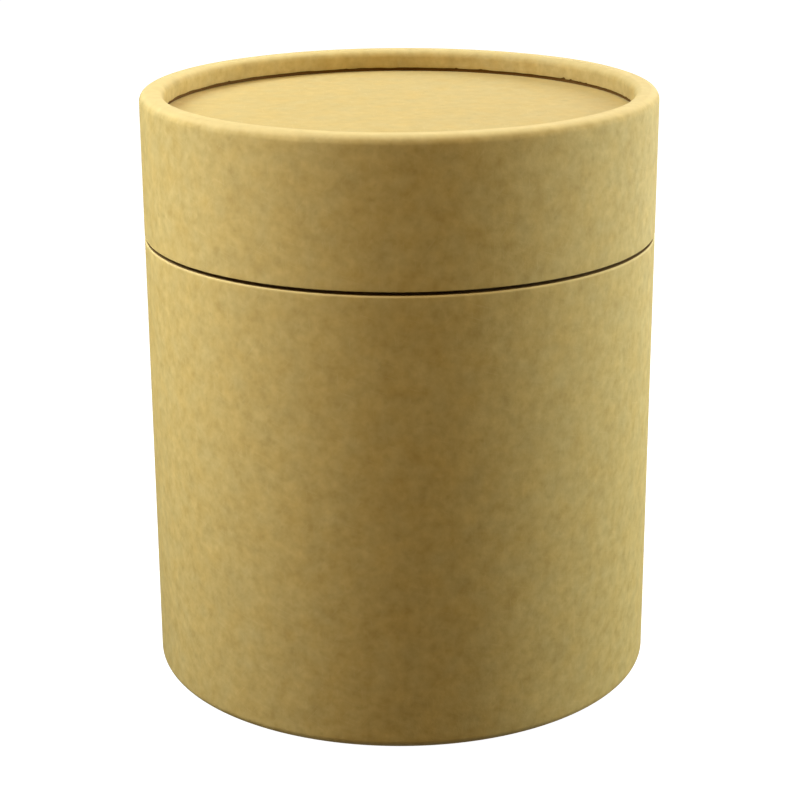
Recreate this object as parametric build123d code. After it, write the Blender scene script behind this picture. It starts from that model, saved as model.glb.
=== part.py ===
from build123d import *
import math
import os

# Cylindrical gift tube box of kraft paper and wound board, in millimetres.
# A lid with a rolled rim slips over a neck tube, which is glued inside a base with a rolled foot.
# The origin is the centre of the foot on the table. +Z is up, and the paper's seams are at +Y.

# Driving dimensions of the closed box
outer_diameter = 85.0
overall_height = 99.0
lid_height = 23.5
joint_gap = 0.55

# Thickness of each layer
wrap_sheet = 0.25
lid_board = 1.6
liner_sheet = 0.15
neck_paper = 0.15
neck_board = 1.2
disc_board = 2.0
facing_sheet = 0.25
lining_sheet = 0.2

# Clearances, and the hairline where a wrapped sheet's two ends meet
slide_clearance = 0.2
disc_edge_clearance = 0.1
seam_gap = 0.3
seam_depth_share = 0.8
cut_overrun = 1.0

# How far each disc is sunk below its rolled end, and how each roll is rounded
rim_recess = 3.85
foot_recess = 4.0
rim_outer_share = 0.375
rim_inner_share = 0.325
foot_outer_share = 0.32
foot_inner_share = 0.42
roll_lean = math.radians(4)

# Radii of the walls. The base's board is thicker, so its bore grips the neck and the lid's slides.
outer_radius = outer_diameter / 2
board_radius = outer_radius - wrap_sheet
base_board = lid_board + slide_clearance
lid_bore = board_radius - lid_board - liner_sheet
base_bore = board_radius - base_board - liner_sheet
neck_bore = base_bore - neck_paper - neck_board - neck_paper

# Heights. The neck stands on the floor and stops the lid, which leaves the joint gap.
base_height = overall_height - lid_height - joint_gap
disc_stack = facing_sheet + disc_board + lining_sheet
floor_height = foot_recess + disc_stack
neck_height = overall_height - rim_recess - disc_stack - floor_height


class RolledWall:
    """Layers of a tube that stands on z = 0, on an end that is folded inwards onto a disc."""

    def __init__(self, length, bore, recess, outer_share, inner_share):
        self.length = length
        self.bore = bore
        self.recess = recess
        self.fold_width = 2 * (outer_radius - bore)
        self.outer_round = outer_share * self.fold_width
        self.inner_round = inner_share * self.fold_width

    def outside(self, inset):
        """Edges from the open end down the wall, round the fold and up to the disc, inset by a layer."""
        side = outer_radius - inset
        lean_out = Vector(-math.cos(roll_lean), math.sin(roll_lean))
        fold_centre = Vector(outer_radius - self.fold_width + self.inner_round, self.inner_round)
        flank_start = fold_centre + lean_out * (self.inner_round - inset)
        rise = self.recess - flank_start.Y
        flank_end = flank_start + Vector(rise * math.tan(roll_lean), rise)
        wall = Line((side, self.length), (side, self.outer_round))
        outer_arc = TangentArc(
            wall @ 1, (outer_radius - self.outer_round, inset), tangent=wall % 1
        )
        land = Line(outer_arc @ 1, (fold_centre.X, inset))
        inner_arc = TangentArc(land @ 1, flank_start, tangent=land % 1)
        flank = Line(inner_arc @ 1, flank_end)
        return [wall, outer_arc, land, inner_arc, flank]

    def skin(self, thickness):
        """The outermost layer, from the open end round the fold to the disc."""
        front = self.outside(0)
        back = self.outside(thickness)
        ends = [Line(front[0] @ 0, back[0] @ 0), Line(front[-1] @ 1, back[-1] @ 1)]
        return turned(front + back + ends)

    def wrap(self):
        """Kraft sheet round the outside, with a hairline at the back where its ends meet."""
        depth = outer_radius + cut_overrun
        slit = Box(seam_gap, depth, self.length + 2 * cut_overrun)
        hairline = self.skin(wrap_sheet * seam_depth_share) & Pos(0, depth / 2, self.length / 2) * slit
        return self.skin(wrap_sheet) - hairline

    def tube(self):
        """Wound board, folded inwards at the foot."""
        front = self.outside(wrap_sheet)
        inside = self.bore + liner_sheet
        step = Line(front[-1] @ 1, (inside, self.recess))
        back = Line(step @ 1, (inside, self.length))
        mouth = Line(back @ 1, front[0] @ 0)
        return turned(front + [step, back, mouth])

    def liner(self):
        """Paper on the inside, from the fold to the open end."""
        return ring(self.bore + liner_sheet, self.bore, self.recess, self.length)

    def disc(self, above, thickness):
        """One round layer of the sunk end, lying at a height above the fold's edge."""
        bottom = self.recess + above
        return Pos(0, 0, bottom + thickness / 2) * Cylinder(
            self.bore - disc_edge_clearance, thickness
        )

    def parts(self, name):
        """All pieces of this end, by node name."""
        return {
            f"{name}_wrap": self.wrap(),
            f"{name}_tube": self.tube(),
            f"{name}_liner": self.liner(),
            f"{name}_disc_facing": self.disc(0, facing_sheet),
            f"{name}_disc": self.disc(facing_sheet, disc_board),
            f"{name}_disc_lining": self.disc(facing_sheet + disc_board, lining_sheet),
        }


def turned(edges):
    """Solid turned about Z from a closed outline of (radius, height) edges."""
    return revolve(Plane.XZ * make_face(edges), Axis.Z)


def ring(outside, inside, bottom, top):
    """Plain tube between two radii and two heights."""
    wall = Cylinder(outside, top - bottom) - Cylinder(inside, top - bottom)
    return Pos(0, 0, (bottom + top) / 2) * wall


def base_parts():
    """The base stands on its rolled foot."""
    wall = RolledWall(base_height, base_bore, foot_recess, foot_outer_share, foot_inner_share)
    return wall.parts("base")


def lid_parts():
    """The lid is made like the base and turned over, with its rolled rim on top."""
    wall = RolledWall(lid_height, lid_bore, rim_recess, rim_outer_share, rim_inner_share)
    return {
        name: Pos(0, 0, overall_height) * mirror(piece, Plane.XY)
        for name, piece in wall.parts("lid").items()
    }


def neck_parts():
    """The neck stands on the floor inside the base and reaches the underside of the lid's disc."""
    top = floor_height + neck_height
    board_outside = base_bore - neck_paper
    board_inside = board_outside - neck_board
    return {
        "neck_wrap": ring(base_bore, board_outside, floor_height, top),
        "neck_tube": ring(board_outside, board_inside, floor_height, top),
        "neck_liner": ring(board_inside, neck_bore, floor_height, top),
    }


os.makedirs("parts", exist_ok=True)
for node, piece in {**base_parts(), **neck_parts(), **lid_parts()}.items():
    export_step(piece, f"parts/{node}.step")
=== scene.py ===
# A gift tube box of kraft paper and wound board, closed, standing on a pale table.
# The sections follow the box as it is put together: base, neck, lid, then the studio round it.
import math

import bpy
from mathutils import Euler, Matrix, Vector, noise


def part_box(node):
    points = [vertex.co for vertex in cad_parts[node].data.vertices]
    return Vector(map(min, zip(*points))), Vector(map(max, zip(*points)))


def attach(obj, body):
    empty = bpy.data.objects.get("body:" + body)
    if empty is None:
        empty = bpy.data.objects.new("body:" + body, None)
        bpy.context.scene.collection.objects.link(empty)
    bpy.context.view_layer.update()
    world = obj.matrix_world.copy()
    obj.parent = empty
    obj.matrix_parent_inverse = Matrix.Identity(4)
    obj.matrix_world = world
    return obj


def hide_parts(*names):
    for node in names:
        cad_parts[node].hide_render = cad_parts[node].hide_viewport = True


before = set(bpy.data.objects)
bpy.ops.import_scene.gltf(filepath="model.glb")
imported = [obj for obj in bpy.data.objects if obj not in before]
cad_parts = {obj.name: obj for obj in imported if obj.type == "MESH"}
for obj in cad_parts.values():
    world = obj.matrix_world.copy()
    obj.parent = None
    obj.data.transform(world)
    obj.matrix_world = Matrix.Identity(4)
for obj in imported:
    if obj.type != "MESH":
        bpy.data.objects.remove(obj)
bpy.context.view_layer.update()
mm = 0.001


# Camera
# It stands in front of the box, close to it, and looks down on it from a little above the lid.
# The lens isn't shifted up or down, so views from other sides are framed as well.
camera_distance = 340 * mm
camera_height = 157 * mm
camera_tilt = math.radians(18.28)
camera_roll = math.radians(0.28)
camera_shift = 0.0033
focal_length = 93.5
bpy.ops.object.camera_add(
    location=(0, -camera_distance, camera_height),
    rotation=(math.pi / 2 - camera_tilt, camera_roll, 0),
)
camera = bpy.context.object
camera.data.lens = focal_length
camera.data.shift_x = camera_shift
camera.data.clip_start = 10 * mm
bpy.context.scene.camera = camera
bpy.context.scene.view_settings.view_transform = "Standard"


# Base tube
# The base's wall is brown board wound in plies on a mandrel, with its foot rolled inwards.
# Only its cut ring under the lid shows, and the end of the roll beside the bottom disc.
outer_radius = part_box("base_wrap")[1].x


class Value:
    """A shader socket that takes part in sums."""

    def __init__(self, shader, socket):
        self.shader = shader
        self.socket = socket

    def maths(self, operation, *others):
        return self.shader.node("Math", {"operation": operation}, dict(enumerate((self, *others))))

    def output(self, name):
        return Value(self.shader, self.socket.node.outputs[name])

    def __add__(self, other):
        return self.maths("ADD", other)

    def __sub__(self, other):
        return self.maths("SUBTRACT", other)

    def __mul__(self, other):
        return self.maths("MULTIPLY", other)

    def __truediv__(self, other):
        return self.maths("DIVIDE", other)

    def __rsub__(self, other):
        return self * -1 + other


class Shader:
    """A new material, and the one method that adds its nodes."""

    def __init__(self, name):
        self.material = bpy.data.materials.new(name)
        self.material.use_nodes = True
        self.tree = self.material.node_tree
        self.surface = self.tree.nodes["Principled BSDF"]
        self.where = self.node("TexCoord", {}, {}, "Object")
        across = self.node("SeparateXYZ", {}, {"Vector": self.where})
        back = across.output("Y")
        self.up = across.output("Z")
        self.angle = across.maths("ARCTAN2", back * -1)
        self.radius = (across * across + back * back).maths("POWER", 0.5)

    def node(self, kind, settings, inputs, output=0):
        """Adds a node: its settings first, then the values or links of its sockets."""
        node = self.tree.nodes.new("ShaderNode" + kind)
        for name, setting in settings.items():
            setattr(node, name, setting)
        for name, value in inputs.items():
            if isinstance(value, Value):
                self.tree.links.new(value.socket, node.inputs[name])
            else:
                node.inputs[name].default_value = value
        return Value(self, node.outputs[output])

    def unrolled(self):
        """The paper laid flat: along the sheet, and across it from the wall over the fold."""
        inputs = {"X": self.angle * outer_radius, "Y": self.up - self.radius}
        return self.node("CombineXYZ", {}, inputs)

    def noise(self, where, size, detail=2.0, roughness=0.5):
        """Cloudy noise from 0 to 1, whose blots are about a size across."""
        inputs = {"Vector": where, "Scale": 1 / size, "Detail": detail, "Roughness": roughness}
        return self.node("TexNoise", {}, inputs)

    def streaks(self, where, turn, length, width):
        """Noise drawn out into streaks that lie at a turn to the first axis."""
        turned = self.node(
            "VectorRotate", {"rotation_type": "Z_AXIS"}, {"Vector": where, "Angle": turn}
        )
        drawn = self.node(
            "VectorMath",
            {"operation": "MULTIPLY"},
            {0: turned, 1: (1 / length, 1 / width, 1 / width)},
        )
        return self.noise(drawn, 1, 1.0)

    def step(self, value, low, high):
        """Rises smoothly from 0 to 1 as a value goes from low to high."""
        inputs = {"Value": value, "From Min": low, "From Max": high}
        return self.node("MapRange", {"interpolation_type": "SMOOTHSTEP"}, inputs)

    def blend(self, share, first, second, kind="MIX"):
        """Goes from one colour to another by a share, or lays the second on by its kind of blend."""
        settings = {"data_type": "RGBA", "blend_type": kind}
        return self.node("Mix", settings, {0: share, 6: first, 7: second}, 2)

    def finish(self, colour, roughness, height, relief, gloss):
        """Links colour, roughness and a relief of so many metres, and gives the material."""
        bump = self.node("Bump", {}, {"Distance": relief, "Height": height})
        for name, value in (("Base Color", colour), ("Roughness", roughness), ("Normal", bump)):
            self.tree.links.new(value.socket, self.surface.inputs[name])
        self.surface.inputs["Specular IOR Level"].default_value = gloss
        return self.material


def chip(red, green, blue):
    """A colour as shaders take it, from a paint chip's values of 0 to 255."""
    return (*(((c / 255 + 0.055) / 1.055) ** 2.4 for c in (red, green, blue)), 1)


def give(node, material):
    """Puts a material on a piece of the frame."""
    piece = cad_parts[node]
    piece.data.materials.clear()
    piece.data.materials.append(material)


ply_thickness = 0.3 * mm
ply_share = 0.7
ply_waver_turn = 0.25
ply_waver_length = 5 * mm
board_tooth = 0.5 * mm
board_relief = 0.04 * mm
board_roughness = 0.8
board_gloss = 0.2
board_dark = chip(96, 70, 32)
board_light = chip(150, 118, 66)
# Dark brown for the crevice beside a sunk disc: partly glue, partly painted shade.
board_glue_and_shade = chip(104, 72, 24)
glue_and_shade_reach = 0.9 * mm
glue_and_shade_edge = 0.1 * mm


def wound_board(name, disc_face, side):
    """Board whose cut edges show its plies as fine rings, with glue and painted shade along a sunk
    disc.
    """
    shader = Shader(name)
    layers = {
        "X": shader.radius / ply_thickness,
        "Y": shader.angle / ply_waver_turn,
        "Z": shader.up / ply_waver_length,
    }
    plies = shader.noise(shader.node("CombineXYZ", {}, layers), 1, 1.0)
    tooth = shader.noise(shader.where, board_tooth)
    share = plies * ply_share + tooth * (1 - ply_share)
    colour = shader.blend(share, board_dark, board_light)
    # Painted crevice shade, partly glue, darkens the board just above the sunk disc's face.
    outwards = (shader.up - disc_face) * side
    above_disc_face = shader.step(outwards, -glue_and_shade_edge, 0)
    glue_and_shade = (1 - shader.step(outwards, glue_and_shade_reach / 2, glue_and_shade_reach)) * above_disc_face
    colour = shader.blend(glue_and_shade, colour, board_glue_and_shade)
    return shader.finish(
        colour, tooth * 0.1 + board_roughness, plies + tooth, board_relief, board_gloss
    )


give("base_tube", wound_board("base_board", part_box("base_disc_facing")[0].z, -1))


# Base liner
# Thin brown paper lines the bore that grips the neck. Its strips are wound in a helix on the
# mandrel before the board, and only its cut edge shows under the lid.
lining_dark = chip(160, 128, 80)
lining_light = chip(190, 158, 108)
lining_clouds = 9 * mm
lining_tooth = 0.7 * mm
lining_fibre = (4 * mm, 0.3 * mm)
lining_relief = 0.05 * mm
lining_roughness = 0.6
lining_gloss = 0.3
lining_pitch = 66 * mm
strip_gap = 0.3 * mm
strip_gap_reach = 0.7 * mm


def wound_lining(name, pitch):
    """Lining wound in a helix on the mandrel, with the hairline where its strips meet."""
    shader = Shader(name)
    turns = (shader.up / pitch - shader.angle / math.tau).maths("FRACT")
    off_seam = (turns - 0.5).maths("ABSOLUTE")
    seam = 1 - shader.step(off_seam, strip_gap / pitch, strip_gap_reach / pitch)
    clouds = shader.noise(shader.where, lining_clouds)
    tooth = shader.noise(shader.where, lining_tooth)
    fibres = shader.streaks(shader.unrolled(), 0.5, *lining_fibre)
    share = clouds * 0.8 + tooth * 0.5 + fibres * 0.5 - 0.4 - seam * 0.8
    colour = shader.blend(share, lining_dark, lining_light)
    roughness = clouds * 0.2 + lining_roughness
    height = tooth * 0.3 - seam * 2
    return shader.finish(colour, roughness, height, lining_relief, lining_gloss)


lining = wound_lining("lining_paper", lining_pitch)
give("base_liner", lining)


# Bottom disc
# A disc of board, faced with kraft below and lined above, is glued against the rolled foot.
# The lining is the floor inside the box.
kraft_dark = (0.475, 0.333, 0.101, 1)
kraft_light = (0.625, 0.465, 0.167, 1)
kraft_ruddy = (1.06, 1, 0.86, 1)
kraft_olive = (0.94, 1, 1.14, 1)
kraft_fleck = chip(126, 106, 52)
kraft_fibre = chip(228, 208, 150)
# Paler kraft for the painted highlight along folds and edges.
kraft_painted_highlight = (0.76, 0.593, 0.248, 1)
sheet_clouds = 14 * mm
sheet_relief = 0.02 * mm
mottle_size, mottle_share = 5.5 * mm, 0.8
blot_size, blot_share = 2.2 * mm, 0.45
grain_size, grain_share = 1.5 * mm, 0.85
tint_size = 3.6 * mm
fleck_size, fleck_strength = 1.3 * mm, 0.14
fibre_lays = ((0.3, 5 * mm), (-0.9, 4 * mm), (1.5, 3 * mm))
fibre_width, fibre_strength = 0.25 * mm, 0.12
kraft_tooth = 0.5 * mm
kraft_relief = 0.018 * mm
kraft_roughness = 0.68
kraft_gloss = 0.25


def kraft(name, flat, cloudiness, folds=()):
    """Uncoated kraft: soft clouds, mottles and grain, faint flecks and fibres, a slight tooth.

    It has a painted highlight along each fold or edge, given as (height, reach, strength)."""
    shader = Shader(name)
    mottles = shader.noise(shader.where, mottle_size, 4.0, 0.95)
    blots = shader.noise(shader.where, blot_size, 0.0)
    grain = shader.noise(shader.where, grain_size, 1.0, 0.6)
    share = (mottles - 0.5) * mottle_share + (blots - 0.5) * blot_share + (grain - 0.5) * grain_share
    share = share * cloudiness + 0.5
    colour = shader.blend(share, kraft_dark, kraft_light)
    tint = shader.blend(shader.noise(shader.where, tint_size, 2.0), kraft_ruddy, kraft_olive)
    colour = shader.blend(1, colour, tint, "MULTIPLY")
    flecks = shader.step(shader.noise(shader.where, fleck_size, 1.0), 0.62, 0.84)
    colour = shader.blend(flecks * fleck_strength, colour, kraft_fleck)
    sheet = shader.where if flat else shader.unrolled()
    for turn, length in fibre_lays:
        fibres = shader.step(shader.streaks(sheet, turn, length, fibre_width), 0.62, 0.8)
        colour = shader.blend(fibres * fibre_strength, colour, kraft_fibre)
    # A painted highlight along each fold or edge.
    for height, reach, strength in folds:
        painted_highlight = 1 - shader.step((shader.up - height).maths("ABSOLUTE"), reach / 4, reach)
        colour = shader.blend(painted_highlight * strength, colour, kraft_painted_highlight)
    tooth = shader.noise(shader.where, kraft_tooth)
    roughness = mottles * 0.15 + kraft_roughness
    return shader.finish(colour, roughness, tooth + mottles, kraft_relief, kraft_gloss)


def lining_sheet(name):
    """A flat sheet of the lining paper."""
    shader = Shader(name)
    clouds = shader.noise(shader.where, sheet_clouds)
    tooth = shader.noise(shader.where, lining_tooth)
    fibres = shader.streaks(shader.where, 0.4, *lining_fibre)
    share = clouds * 0.8 + tooth * 0.5 + fibres * 0.5 - 0.4
    colour = shader.blend(share, lining_dark, lining_light)
    roughness = clouds * 0.2 + lining_roughness
    return shader.finish(colour, roughness, tooth, sheet_relief, lining_gloss)


kraft_flat = kraft("kraft_disc", True, 0.55)
lining_flat = lining_sheet("lining_disc")
give("base_disc_facing", kraft_flat)
plain_board = wound_board("disc_board", -1, 1)
give("base_disc", plain_board)
give("base_disc_lining", lining_flat)


# Base wrap
# One sheet of kraft paper is glued round the board, and laps over its own start at the back.
# It is folded inwards with the foot, and its raw edge stops just short of the disc.
base_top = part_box("base_wrap")[1].z
foot_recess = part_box("base_disc_facing")[0].z
sheet_thickness = 0.24 * mm
edge_round = 0.08 * mm
lap_step = 0.12 * mm
lap_fade = math.radians(9)
fold_lean = math.radians(4)
foot_width = 4.4 * mm
foot_rounds = (1.408 * mm, 1.848 * mm)
foot_stop = 0.3 * mm
top_ease = 0.45 * mm
ease_slope = 0.6
ease_turn = math.radians(70)
ease_steps = 5
outer_steps = 12
inner_steps = 14
flank_shares = (0.25, 0.5, 0.75, 1)
wall_steps = 576
lap_edge = 0.15 * mm
lap_flattened = 6 * mm
weld_distance = 0.002 * mm
smooth_angle = math.radians(40)
raw_edge_angle = math.radians(55)


def eased_end(height, ease):
    """The free edge of a sheet, as (radius, height), where it was pressed round the cut board."""
    path = []
    for step in range(ease_steps + 1):
        turn = ease_turn * (1 - step / ease_steps)
        across = outer_radius - ease * ease_slope * (1 - math.cos(turn))
        path.append((across, height - ease * (1 - math.sin(turn))))
    return path


def folded_sheet(wall, width, rounds, recess, stop):
    """Outline of a sheet as (radius, height) down the wall and round a fold at height 0.

    The sheet ends on the fold's inner side, where it stops short of the disc."""
    outer_round, inner_round = rounds
    path = [(outer_radius, height) for height in wall]
    for step in range(outer_steps + 1):
        turn = math.pi / 2 * step / outer_steps
        across = outer_radius - outer_round + outer_round * math.cos(turn)
        path.append((across, outer_round - outer_round * math.sin(turn)))
    middle = outer_radius - width + inner_round
    for step in range(inner_steps + 1):
        turn = (math.pi / 2 + fold_lean) * step / inner_steps
        across = middle - inner_round * math.sin(turn)
        path.append((across, inner_round - inner_round * math.cos(turn)))
    across, height = path[-1]
    for share in flank_shares:
        rise = (recess - stop - height) * share
        path.append((across + rise * math.tan(fold_lean), height + rise))
    return path


def spun(name, path, steps=wall_steps):
    """Draws an outline point by point at the back of the box, and spins it round the box."""
    bpy.ops.object.select_all(action="DESELECT")
    bpy.ops.mesh.primitive_plane_add(size=mm)
    piece = bpy.context.object
    piece.name = name
    points = [Vector((0, radius, height)) for radius, height in path]
    bpy.ops.object.mode_set(mode="EDIT")
    bpy.ops.mesh.merge(type="CENTER")
    bpy.ops.transform.translate(value=points[0])
    for start, end in zip(points, points[1:]):
        bpy.ops.mesh.extrude_region_move(TRANSFORM_OT_translate={"value": end - start})
    bpy.ops.mesh.select_all(action="SELECT")
    bpy.ops.mesh.spin(steps=steps, angle=math.tau, center=(0, 0, 0), axis=(0, 0, 1))
    bpy.ops.mesh.select_all(action="SELECT")
    bpy.ops.mesh.remove_doubles(threshold=weld_distance)
    bpy.ops.mesh.normals_make_consistent(inside=False)
    bpy.ops.object.mode_set(mode="OBJECT")
    return piece


def lap(piece, height, flattened):
    """Steps a sheet down where its end lies over its start at the back, less on the rolled fold."""
    one_step = math.tau / wall_steps
    for vertex in piece.data.vertices:
        place = vertex.co
        turn = math.atan2(place.x, place.y)
        if one_step / 2 < turn < one_step * 1.5:
            place.rotate(Euler((0, 0, turn - lap_edge / outer_radius)))
        depth = max(0, 1 - turn / lap_fade) if turn > one_step / 100 else 0
        pressed = max(0, min(1, abs(place.z - height) / flattened))
        place.xy *= 1 - lap_step * depth * pressed / outer_radius


def thicken(piece, thickness, round_edges):
    """Gives a sheet its thickness on the inside, and eases its raw edges."""
    solid = piece.modifiers.new("thickness", "SOLIDIFY")
    solid.thickness = thickness
    solid.offset = -1
    bpy.ops.object.modifier_apply(modifier=solid.name)
    if round_edges:
        bevel = piece.modifiers.new("raw_edges", "BEVEL")
        bevel.width = round_edges
        bevel.segments = 2
        bevel.angle_limit = raw_edge_angle
        bpy.ops.object.modifier_apply(modifier=bevel.name)
    bpy.ops.object.shade_smooth_by_angle(angle=smooth_angle)


base_wall = [base_top * share for share in (0.98, 0.8, 0.6, 0.4, 0.2, 0.08, 0.03)]
base_path = eased_end(base_top, top_ease)
base_path += folded_sheet(base_wall, foot_width, foot_rounds, foot_recess, foot_stop)
base_wrap = spun("base_kraft_wrap", base_path)
lap(base_wrap, 0, lap_flattened)
thicken(base_wrap, sheet_thickness, edge_round)
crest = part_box("lid_wrap")[1].z
# Painted highlights along the lid's rolled crest and the base's top edge.
highlighted_folds = ((crest, 0.9 * mm, 0.5), (base_top, 0.5 * mm, 0.5))
kraft_round = kraft("kraft_wrap", False, 1.35, highlighted_folds)
base_wrap.data.materials.append(kraft_round)
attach(base_wrap, "base")
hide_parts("base_wrap")


# Neck
# A second board tube is glued inside the base, papered outside and lined inside.
# The lid slides over it, and its top edge is cut through all three layers.
neck_bottom, neck_top = (corner.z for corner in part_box("neck_wrap"))
neck_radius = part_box("neck_wrap")[1].x
neck_sheet = 0.14 * mm
neck_rings = 6
give("neck_tube", plain_board)
give("neck_liner", lining)
neck_ring = (neck_top - neck_bottom) / neck_rings
neck_path = [(neck_radius, neck_bottom + neck_ring * step) for step in range(neck_rings + 1)]
neck_wrap = spun("neck_kraft_wrap", neck_path)
lap(neck_wrap, 0, mm)
thicken(neck_wrap, neck_sheet, 0)
neck_wrap.data.materials.append(kraft_round)
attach(neck_wrap, "base")
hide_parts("neck_wrap")


# Lid tube and liner
# The lid's board is wound like the base's and rolled inwards at the top.
# It is lined inside, where it slides over the neck, and shows only with the lid off.
give("lid_tube", wound_board("lid_board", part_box("lid_disc_facing")[1].z, 1))
give("lid_liner", lining)


# Lid disc
# The disc sunk in the rim is board lined below and faced with kraft above.
# The facing is pasted on wet, so it has dried very slightly wavy.
disc_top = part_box("lid_disc_facing")[1].z
disc_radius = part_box("lid_disc_facing")[1].x
facing_wave = 0.05 * mm
facing_wave_size = 11 * mm
facing_rings = 20
facing_steps = 180
give("lid_disc", plain_board)
give("lid_disc_lining", lining_flat)
facing_path = [(disc_radius * step / facing_rings, disc_top) for step in range(facing_rings + 1)]
lid_facing = spun("lid_disc_kraft_facing", facing_path, facing_steps)
for vertex in lid_facing.data.vertices:
    vertex.co.z -= facing_wave * (0.5 + 0.5 * noise.noise(vertex.co / facing_wave_size))
thicken(lid_facing, sheet_thickness, 0)
lid_facing.data.materials.append(kraft_flat)
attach(lid_facing, "lid")
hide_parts("lid_disc_facing")


# Lid wrap
# The lid's kraft sheet goes up the wall, over the rolled rim and down to the sunk disc.
# Tucked in by hand, it is a little uneven on the rim and puckered on the rim's inner side.
lid_bottom, lid_top = (corner.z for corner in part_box("lid_wrap"))
rim_recess = lid_top - disc_top
rim_width = 4.0 * mm
rim_rounds = (1.5 * mm, 1.3 * mm)
rim_stop = 0.6 * mm
fold_reach = 2.5 * mm
inner_reach = 1.8 * mm
edge_start, edge_reach = 1.9 * mm, 1.4 * mm
rim_sag, sag_inwards, sag_size = 0.1 * mm, 0.6, 16 * mm
pucker_depth, pucker_size = 0.08 * mm, 2.6 * mm
waver_depth, waver_size = 0.12 * mm, 3 * mm
nick_depth, nick_size, nick_start = 1.2 * mm, 0.9 * mm, 0.42
bottom_ease = 0.15 * mm
lid_wall = [(lid_top - lid_bottom) * share for share in (0.96, 0.7, 0.45, 0.25, 0.14)]
lid_path = eased_end(lid_top - lid_bottom, bottom_ease)
lid_path += folded_sheet(lid_wall, rim_width, rim_rounds, rim_recess, rim_stop)
lid_wrap = spun("lid_kraft_wrap", [(radius, lid_top - height) for radius, height in lid_path])
lap(lid_wrap, lid_top, lap_flattened)
for vertex in lid_wrap.data.vertices:
    place = vertex.co
    radius = math.hypot(place.x, place.y)
    outwards = Vector((place.x, place.y, 0)) / radius
    fold = max(0, min(1, (place.z - lid_top + fold_reach) / fold_reach))
    inner = max(0, min(1, (outer_radius - rim_width / 2 - radius) / inner_reach))
    edge = inner * max(0, min(1, (lid_top - edge_start - place.z) / edge_reach))
    around = outwards * outer_radius
    sag = 0.5 + 0.5 * noise.noise(around / sag_size)
    pucker = noise.noise(around / pucker_size + Vector((7, 3, 1)))
    waver = noise.noise(around / waver_size + Vector((2, 9, 4)))
    nick = max(0, noise.noise(around / nick_size + Vector((5, 5, 8))) - nick_start)
    place -= outwards * rim_sag * sag_inwards * sag * fold * (1 - inner)
    place += outwards * pucker_depth * pucker * inner
    place.z -= rim_sag * sag * fold
    place.z += edge * (waver_depth * waver + nick_depth * nick)
thicken(lid_wrap, sheet_thickness, edge_round)
lid_wrap.data.materials.append(kraft_round)
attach(lid_wrap, "lid")
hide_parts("lid_wrap")


# Table and studio
# The box stands on a white table that glows evenly, as in a light tent, under soft lamps.
# Only the camera sees the table and the backdrop: they neither light nor shade the box.
# From below the table is clear, so the foot shows.
table_white = chip(128, 128, 127)
table_shade = chip(122, 122, 121)
table_glow = 1
table_size = 6
table_relief = 0.01 * mm
table_gloss = 0.1
bpy.ops.mesh.primitive_plane_add(size=table_size)
table = bpy.context.object
table.name = "table"
paint = Shader("table_white")
paint.finish(
    paint.blend(paint.noise(paint.where, 0.4), table_white, table_shade),
    paint.noise(paint.where, 0.2) * 0.1 + 0.7,
    paint.noise(paint.where, 2 * mm),
    table_relief,
    table_gloss,
)
paint.surface.inputs["Emission Color"].default_value = (1, 1, 1, 1)
paint.surface.inputs["Emission Strength"].default_value = table_glow
clear = paint.node("BsdfTransparent", {}, {})
below = paint.node("NewGeometry", {}, {}, "Backfacing")
board = Value(paint, paint.surface.outputs["BSDF"])
one_sided = paint.node("MixShader", {}, {0: below, 1: board, 2: clear})
paint.tree.links.new(one_sided.socket, paint.tree.nodes["Material Output"].inputs["Surface"])
table.data.materials.append(paint.material)
table.visible_diffuse = False
table.visible_glossy = False
table.visible_shadow = False

world = bpy.data.worlds.new("studio")
world.use_nodes = True
backdrop = world.node_tree.nodes["Background"]
backdrop.inputs["Color"].default_value = (1, 1, 1, 1)
backdrop.inputs["Strength"].default_value = table_glow
world.cycles_visibility.diffuse = False
world.cycles_visibility.glossy = False
bpy.context.scene.world = world


def soft_box(name, direction, elevation, distance, size, watts, colour, height=50 * mm):
    """A lamp aimed at a height on the box's axis, at a bearing and an elevation in degrees."""
    turn, climb = math.radians(direction), math.radians(elevation)
    level = distance * math.cos(climb)
    aim = Vector((0, 0, height))
    place = aim + Vector((level * math.sin(turn), -level * math.cos(turn), distance * math.sin(climb)))
    rotation = (aim - place).to_track_quat("-Z", "Y").to_euler()
    bpy.ops.object.light_add(type="AREA", location=place, rotation=rotation)
    lamp = bpy.context.object
    lamp.name = name
    lamp.data.shape = "RECTANGLE"
    lamp.data.size, lamp.data.size_y = size
    lamp.data.energy = watts
    lamp.data.color = colour
    lamp.visible_camera = False


soft_box("left_box", -90, 45, 0.45, (0.25, 0.25), 2.76, (0.68, 0.77, 0.92))
soft_box("right_box", 95, 19, 0.6, (0.35, 0.35), 3.83, (0.78, 0.86, 0.9))
soft_box("front_top_box", 0, 60, 0.8, (0.5, 0.5), 2.42, (1, 0.75, 0.42))
soft_box("back_box", 150, 30, 0.7, (0.4, 0.4), 2.81, (0.85, 0.84, 0.9))
soft_box("back_top_box", 180, 70, 0.8, (0.5, 0.5), 1.51, (0.67, 0.75, 0.9))
soft_box("front_strip", -10, 0, 0.4, (0.2, 0.07), 0.092, (1, 0.73, 0.4), 60 * mm)
soft_box("left_strip", -65, 0, 0.17, (0.12, 0.05), 0.106, (1, 0.98, 0.84), 72 * mm)
soft_box("right_strip", 70, 0, 0.17, (0.12, 0.05), 0.038, (0.88, 0.98, 0.88), 72 * mm)
soft_box("right_back_strip", 115, 0, 0.17, (0.12, 0.05), 0.0875, (0.71, 0.79, 0.9), 72 * mm)
soft_box("under_box", 0, -90, 0.4, (0.08, 0.08), 0.3, (1, 0.95, 0.88), 0)
